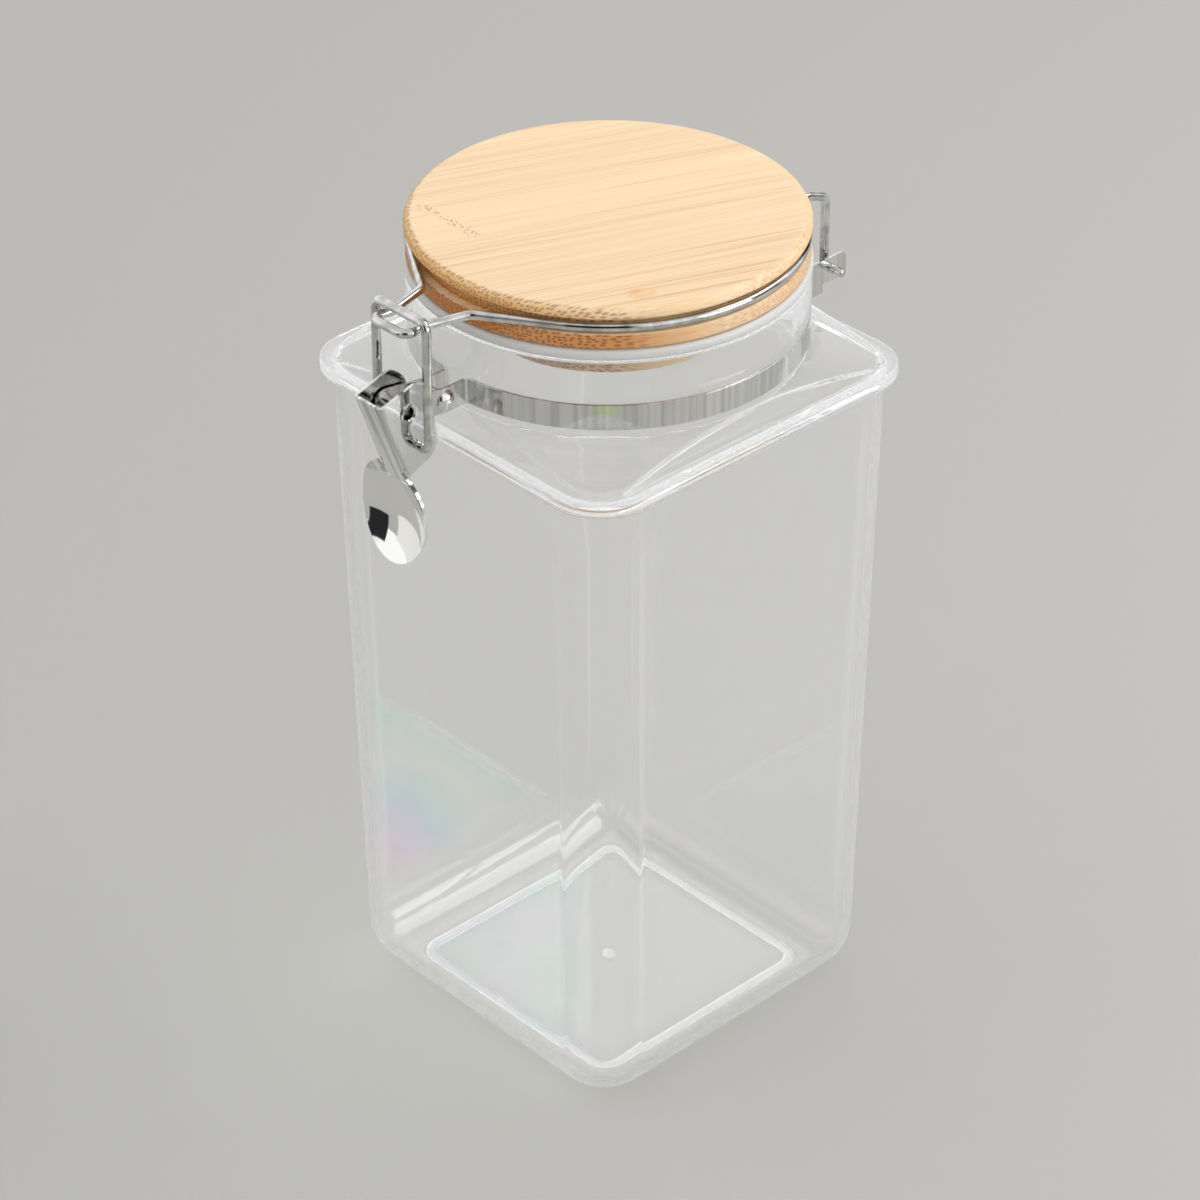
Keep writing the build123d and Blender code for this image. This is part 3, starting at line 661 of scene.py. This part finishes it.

# %% [markdown]
# ## Bamboo
# Bamboo board is glued from strips. Along the strips it shows long fine streaks; across them,
# on the lid's rim at both ends of the grain, it shows the cut ends of the fibre bundles as
# small dark dots. One pattern in space gives both: tubes that run along the grain, which are
# streaks on a face along them and dots on a face across them. The end grain is browner, most
# of all at the front, where the lower lip is brown all along. Part of that is painted shade:
# the front lies away from the lamps, and the lower lip lies under the upper disc.

# %% Bamboo grain group
def bamboo_group():
    """Fibre bundles as long thin cells along X: streaks lengthwise, dots on the cut ends."""
    group, given = new_group("bamboo_grain", [("Vector", "Vector")],
                             [("Streaks", "Float"), ("Dots", "Float"), ("Strips", "Float")])
    vector = given["Vector"]
    hair = noise(group, stretched(group, vector, (15, 2100, 2100)), 1.0, 3.0)
    band = noise(group, stretched(group, vector, (9, 420, 420)), 1.0, 2.0)
    streaks = node(group, "ShaderNodeMix", {"A": hair, "B": band}, {"Factor": 0.36})
    _, sideways, upwards = xyz(group, vector)
    across = node(group, "ShaderNodeCombineXYZ", {"X": sideways, "Y": upwards})
    bundle = node(group, "ShaderNodeTexVoronoi", {"Vector": across.outputs["Vector"]},
                  {"Scale": 1120.0, "Randomness": 0.62}, voronoi_dimensions="2D")
    dots = fade(group, bundle.outputs["Distance"], 0.44, 0.18)
    strips_per_metre = 48.0
    strip = maths(group, "FLOOR", maths(group, "MULTIPLY", sideways, strips_per_metre))
    shade = node(group, "ShaderNodeTexWhiteNoise", {"W": strip}, noise_dimensions="1D")
    node(group, "NodeGroupOutput", {"Streaks": streaks.outputs["Result"], "Dots": dots,
                                    "Strips": shade.outputs["Value"]})
    return group


bamboo_grain = bamboo_group()
print("bamboo_grain", len(bamboo_grain.nodes), "nodes")

# %% Bamboo: grain and faces
bamboo, tree, shader, _ = new_material("bamboo")
grain_turn = math.radians(68.0)
to_grain = {"Rotation": (0, 0, -grain_turn)}
coordinates = node(tree, "ShaderNodeTexCoord").outputs
place, face = coordinates["Object"], coordinates["Normal"]
along = node(tree, "ShaderNodeMapping", {"Vector": place}, to_grain).outputs["Vector"]
facing = node(tree, "ShaderNodeMapping", {"Vector": face}, to_grain, vector_type="NORMAL")
grain = node(tree, "ShaderNodeGroup", {"Vector": along}, node_tree=bamboo_grain).outputs
end_grain = apart(tree, xyz(tree, facing.outputs["Vector"])[0])
dot_mask = fade(tree, end_grain, 0.10, 0.30)
end_mask = fade(tree, end_grain, 0.22, 0.85)
upright = fade(tree, apart(tree, xyz(tree, face)[2]), 0.9, 0.5)
print("grain runs", round(math.degrees(grain_turn)), "degrees from X")

# %% Bamboo: pale side grain, brown end grain and painted shade
side_tone = ramp(tree, grain["Streaks"], [
    (0.30, (0.70, 0.41, 0.18)), (0.44, (0.895, 0.64, 0.375)), (0.58, (0.94, 0.72, 0.47))])
strip_tint = ranged(tree, grain["Strips"], 0.95, 1.04)
pale = node(tree, "ShaderNodeVectorMath", {0: side_tone, "Scale": strip_tint}, operation="SCALE")
lid_x, lid_y, level = xyz(tree, place)
plug_foot, lid_top, groove_low, groove_high = 0.214, 0.239, 0.2325, 0.2350
# End grain tone by height. The lower lip's deepest brown is partly its tone and partly painted
# shade under the upper disc.
end_tone_and_shade = ramp(tree, fade(tree, level, plug_foot, lid_top), [
    (0.0, (0.76, 0.47, 0.22)), (0.30, (0.68, 0.34, 0.12)), (0.54, (0.60, 0.22, 0.04)),
    (0.70, (0.60, 0.22, 0.04)), (0.80, (0.70, 0.35, 0.10)), (1.0, (0.82, 0.47, 0.17))])
# Painted shade: towards the front, away from the lamps, the end grain is browner and its dots
# stronger; towards the back it is paler.
front = fade(tree, maths(tree, "MULTIPLY_ADD", lid_x, 0.93, lid_y), 0.045, 0.004)
below_groove = fade(tree, level, groove_high, groove_low)
# The lower lip at the front: its own tone, and painted shade under the upper disc.
lip_tone_and_shade = times(tree, below_groove, front, 0.85, upright)
front_shade = maths(tree, "MULTIPLY_ADD", front, 0.65, 0.35)
end_grain_and_shade = maths(tree, "MAXIMUM", times(tree, end_mask, front_shade), lip_tone_and_shade)
sided = mixed(tree, end_grain_and_shade, pale.outputs["Vector"], end_tone_and_shade)
print("lower lip and plug lie below", groove_low / mm, "mm")

# %% Bamboo: knots
# The strips' knots on the top: a dotted line across the grain and an orange blot near the
# front edge.
line_at, line_lean = 0.0341, 0.37
blot_at, blot_size = (-0.0084, -0.0434), (0.0040, 0.0026)
gx, gy, _ = xyz(tree, along)
on_top = fade(tree, level, 0.2386, 0.2389)
waver = noise(tree, place, 260.0, 1.0)
off_line = maths(tree, "ADD", maths(tree, "MULTIPLY_ADD", gy, line_lean, gx),
                 maths(tree, "MULTIPLY_ADD", waver, 0.004, line_at))
knot_line = times(tree, fade(tree, apart(tree, off_line), 0.0019, 0.0007),
                  fade(tree, gy, -0.002, 0.0), fade(tree, gy, 0.0210, 0.0190))
pit = node(tree, "ShaderNodeTexVoronoi", {"Vector": along}, {"Scale": 760.0, "Randomness": 0.8},
           voronoi_dimensions="2D")
pits = times(tree, knot_line, on_top, fade(tree, pit.outputs["Distance"], 0.36, 0.16))
blot_x, blot_y = (maths(tree, "DIVIDE", maths(tree, "SUBTRACT", part, centre), size)
                  for part, centre, size in zip((gx, gy), blot_at, blot_size))
blot_far = maths(tree, "SQRT", maths(tree, "ADD", times(tree, blot_x, blot_x),
                                     times(tree, blot_y, blot_y)))
blot = times(tree, fade(tree, blot_far, 1.15, 0.4), fade(tree, waver, 0.35, 0.6), on_top)
marked = mixed(tree, times(tree, blot, 0.75), sided, (0.80, 0.34, 0.10))
print("knots", -line_at, "along the grain and", blot_at, "along and across it, in metres")

# %% Bamboo: put together
# Dots fade towards the back, where the lamps wash them out: part of the painted front shade.
dot_weight = times(tree, maths(tree, "MULTIPLY_ADD", below_groove, 0.22, 0.60), front_shade)
dots = times(tree, grain["Dots"], dot_mask, dot_weight)
dark_part = maths(tree, "ADD", dots, times(tree, pits, 0.60))
whole = mixed(tree, dark_part, marked, (0.24, 0.09, 0.025))
tree.links.new(whole, shader.inputs["Base Color"])
shader.inputs["Roughness"].default_value = 0.46
shader.inputs["Specular IOR Level"].default_value = 0.4
bumped(tree, shader, grain["Streaks"], 0.12, 0.0003)
lid.data.materials.append(bamboo)
print("bamboo", len(tree.nodes), "nodes")

# %% [markdown]
# ## Wires
# The bail and the link are round wire. A path of straight runs and tangent arcs is worked out
# first, then a circle is carried along it, square to the path. The circle shrinks over the
# last bit at each end, like a cropped and tumbled wire end.

# %% Wire path and tube
def bent_path(corners, radii, step=6.0):
    """Straight runs joined by tangent arcs: an arc starts radius * tan(half the turn) before
    its corner, and its centre lies on the line that halves the corner."""
    corners = np.asarray(corners, float)
    points = [corners[0]]
    for before, corner, after, radius in zip(corners[:-2], corners[1:-1], corners[2:], radii):
        arrive = (corner - before) / np.linalg.norm(corner - before)
        depart = (after - corner) / np.linalg.norm(after - corner)
        bend = np.arccos(np.clip(arrive @ depart, -1, 1))
        inward = (depart - arrive) / np.linalg.norm(depart - arrive)
        centre = corner + inward * radius / np.cos(bend / 2)
        start = corner - arrive * radius * np.tan(bend / 2) - centre
        steps = np.linspace(0, bend, max(4, int(np.degrees(bend) / step) + 1))[:, None]
        points.extend(centre + start * np.cos(steps) + arrive * radius * np.sin(steps))
    points.append(corners[-1])
    return np.array(points)


def with_mirror(half_path):
    """A path whose last point lies in the plane X = 0, followed by its mirror image."""
    return np.vstack([half_path, (half_path * (-1, 1, 1))[-2::-1]])


def tube(name, path, radius, around_count=24):
    """Carries a circle along a path, turning its frame as little as possible at each step."""
    ahead = np.gradient(path, axis=0)
    ahead /= np.linalg.norm(ahead, axis=1, keepdims=True)
    slanting = (0.3, 0.5, 0.8)  # any direction that no path starts in
    first = np.cross(ahead[0], slanting)
    normals = [first / np.linalg.norm(first)]
    for direction in ahead[1:]:
        normal = normals[-1] - direction * (normals[-1] @ direction)
        normals.append(normal / np.linalg.norm(normal))
    normals = np.array(normals)
    sideways = np.cross(ahead, normals)
    turn = np.linspace(0, 2 * np.pi, around_count, endpoint=False)
    ring = (normals[:, None] * np.cos(turn)[None, :, None]
            + sideways[:, None] * np.sin(turn)[None, :, None])
    cap = np.radians(np.array([90, 65, 40, 18]))
    width = radius * np.cos(cap)
    cap_depth = 0.45
    back = cap_depth * radius * (1 - np.sin(cap))
    head = path[0] + ahead[0] * back[:, None]
    tail = path[-1] - ahead[-1] * back[::-1, None]
    rows = np.concatenate([head[:, None] + ring[0] * width[:, None, None],
                           path[1:-1, None] + ring[1:-1] * radius,
                           tail[:, None] + ring[-1] * width[::-1, None, None]])
    return grid_mesh(name, rows, sharp=60)

# %% Bail
wire, wire_z, ring_r = 1.22, 233.5, 50.7
hinge_x, half_strip, leg_gap = 25.0, 0.35, 1.1
hinge_y, hinge_z = 56.2, 211.0
knee_x, waist_x, head_x = 9.0, 5.5, 6.65
waist_y, head_y = -67.7, -73.5
leave = math.radians(56.5)
leave_x, leave_y = ring_r * math.cos(leave), -ring_r * math.sin(leave)
knee_y = leave_y - (leave_x - knee_x) / math.tan(leave)
leg_x = hinge_x - half_strip - leg_gap - wire
leg_bend = 3.0
ease_x = leg_x + leg_bend
bend_y = math.sqrt((ring_r + leg_bend) ** 2 - ease_x ** 2)
groove_start = math.degrees(math.atan2(bend_y, ease_x))
leg = bent_path([(29.6, hinge_y, hinge_z), (leg_x, hinge_y, hinge_z),
                 (leg_x, hinge_y, wire_z - 2.5), (leg_x, bend_y + 2.0, wire_z),
                 (leg_x, bend_y, wire_z)], [1.9, 3.0, 6.0])
ease = arc((ease_x, bend_y), leg_bend, 180, 180 + groove_start, 12)[1:]
ring = arc((0, 0), ring_r, groove_start, -math.degrees(leave), 90)[1:-1]
loop = bent_path([(leave_x, leave_y, wire_z), (knee_x, knee_y, wire_z), (waist_x, waist_y, wire_z),
                  (head_x, head_y, wire_z), (0, head_y, wire_z)], [4.0, 3.0, 2.4])
flat = np.vstack([ease, ring])
half = np.vstack([leg, np.hstack([flat, np.full((len(flat), 1), wire_z)]), loop])
bail = tube("bail_wire_round", with_mirror(half), wire)
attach(bail, "lid")
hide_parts("bail_wire")

# %% Link
pin_x, pin_y, pin_z = 3.2, -69.8, 200.6
side_x, bar_y = 9.5, -69.5
hook_gap = 0.5
bar_z = wire_z + 2 * wire + hook_gap
link_half = bent_path([(pin_x, pin_y, pin_z), (side_x, pin_y, pin_z), (side_x, bar_y, bar_z),
                       (0, bar_y, bar_z)], [2.4, 2.4])
link = tube("link_wire_round", with_mirror(link_half), wire)
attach(link, "link")
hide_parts("link_wire")

# %% [markdown]
# ## Steel strip and stampings
# The band, the hinge bracket, the lever and the rivets keep their CAD shapes. Bright metal
# needs smooth normals and small edge rounds, so each is a merged copy with a fine bevel.

# %% Copies of the pressed pieces
def pressed(node_name, name, body_name, edge=0.07, sharp=28.0):
    """A merged copy of a CAD node's mesh with its sharp edges slightly rounded."""
    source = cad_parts[node_name]
    mesh = source.data.copy()
    mesh.materials.clear()
    mesh.transform(source.matrix_world)
    piece = finish_mesh(name, mesh, sharp)
    bevel = piece.modifiers.new("edge", "BEVEL")
    bevel.width, bevel.segments, bevel.limit_method = edge * mm, 2, "ANGLE"
    bevel.angle_limit = math.radians(sharp + 4)  # a little above the limit of the shading
    bevel.harden_normals = True
    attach(piece, body_name)
    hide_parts(node_name)
    return piece


band = pressed("neck_band", "band_strip", "jar")
bracket = pressed("hinge_bracket", "hinge_strip", "jar")
rivet = pressed("band_rivet", "band_rivet_head", "jar", edge=0.05)
pivot = pressed("lever_pivot", "pivot_tube", "jar", edge=0.05)
lever = pressed("lever", "clamp_lever", "lever")

# %% [markdown]
# ## Steel
# All the metal is bright stainless steel, but not alike: drawn wire is clean, rolled strip is
# a little soft, and the lever has faint streaks along its web from the polishing wheel, which
# also stand in as painted reflections of the room.

# %% Metal wear and painted reflections group
def wear_and_reflections_group():
    """Drawn or polished streaks between two tones, which on the lever also stand in as painted
    reflections, and handling marks: a roughness that drifts with cloudy noise, and thin
    scratches. Stretch sets which way the streaks run, and below Clean Below, in metres,
    there are none."""
    group, given = new_group(
        "metal_wear_and_reflections",
        [("Vector", "Vector"), ("Stretch", "Vector"), ("Dark", "Float"), ("Light", "Float"),
         ("Clean Below", "Float"), ("Amount", "Float"), ("Base", "Float")],
        [("Colour", "Color"), ("Roughness", "Float"), ("Scratches", "Float")])
    vector = given["Vector"]
    # The streaks' tones: drawn or polish marks, and on the lever painted reflections as well.
    drawn = node(group, "ShaderNodeMapping", {"Vector": vector, "Scale": given["Stretch"]})
    streak = noise(group, drawn.outputs["Vector"], 1.0, 2.0)
    above = maths(group, "SUBTRACT", xyz(group, vector)[2], given["Clean Below"])
    clean = fade(group, above, 0.004, -0.004)
    share = fade(group, maths(group, "MAXIMUM", streak, clean), 0.34, 0.62)
    tone = node(group, "ShaderNodeMix", {"Factor": share, "A": given["Dark"],
                                         "B": given["Light"]}).outputs["Result"]
    less_blue = maths(group, "MULTIPLY", tone, 0.985)
    colour = node(group, "ShaderNodeCombineColor", {"Red": tone, "Green": tone, "Blue": less_blue})
    rough = maths(group, "MULTIPLY_ADD", noise(group, vector, 220.0, 4.0), given["Amount"],
                  given["Base"])
    scratches = noise(group, stretched(group, vector, (3000, 2600, 160)), 1.0, 2.0)
    node(group, "NodeGroupOutput", {"Colour": colour.outputs["Color"], "Roughness": rough,
                                    "Scratches": scratches})
    return group


metal_wear_and_reflections = wear_and_reflections_group()
print("metal_wear_and_reflections", len(metal_wear_and_reflections.nodes), "nodes")

# %% Steel finishes
def steel(name, dark, light, stretch, base, amount, scratch, clean_below=-1.0):
    """Bright steel: its darkest and lightest tone, how the streaks between them are stretched,
    the base roughness, how much that drifts, how deep the scratches are, and the height in
    metres below which there are no streaks."""
    material, tree, shader, _ = new_material(name)
    shader.inputs["Metallic"].default_value = 1.0
    place = node(tree, "ShaderNodeTexCoord").outputs["Object"]
    wear_and_reflections = node(tree, "ShaderNodeGroup", {"Vector": place},
                {"Stretch": stretch, "Dark": dark, "Light": light, "Clean Below": clean_below,
                 "Amount": amount, "Base": base}, node_tree=metal_wear_and_reflections).outputs
    tree.links.new(wear_and_reflections["Colour"], shader.inputs["Base Color"])
    tree.links.new(wear_and_reflections["Roughness"], shader.inputs["Roughness"])
    bumped(tree, shader, wear_and_reflections["Scratches"], scratch, 0.00005)
    return material


wire_steel = steel("wire_steel", 0.46, 0.70, (300, 300, 300), 0.02, 0.05, 0.02)
band_steel = steel("band_steel", 0.56, 0.74, (600, 600, 5), 0.05, 0.08, 0.06)
rivet_steel = steel("rivet_steel", 0.66, 0.78, (500, 500, 500), 0.06, 0.08, 0.05)
# The lever's streaks, light to dark, are painted reflections on its web as well as polish marks.
lever_steel = steel("lever_steel", 0.42, 0.88, (800, 60, 20), 0.03, 0.06, 0.03, clean_below=0.190)
for piece, finish in ((bail, wire_steel), (link, wire_steel), (band, band_steel),
                      (bracket, band_steel), (rivet, rivet_steel), (pivot, rivet_steel),
                      (lever, lever_steel)):
    piece.data.materials.append(finish)
    print(piece.name, finish.name)
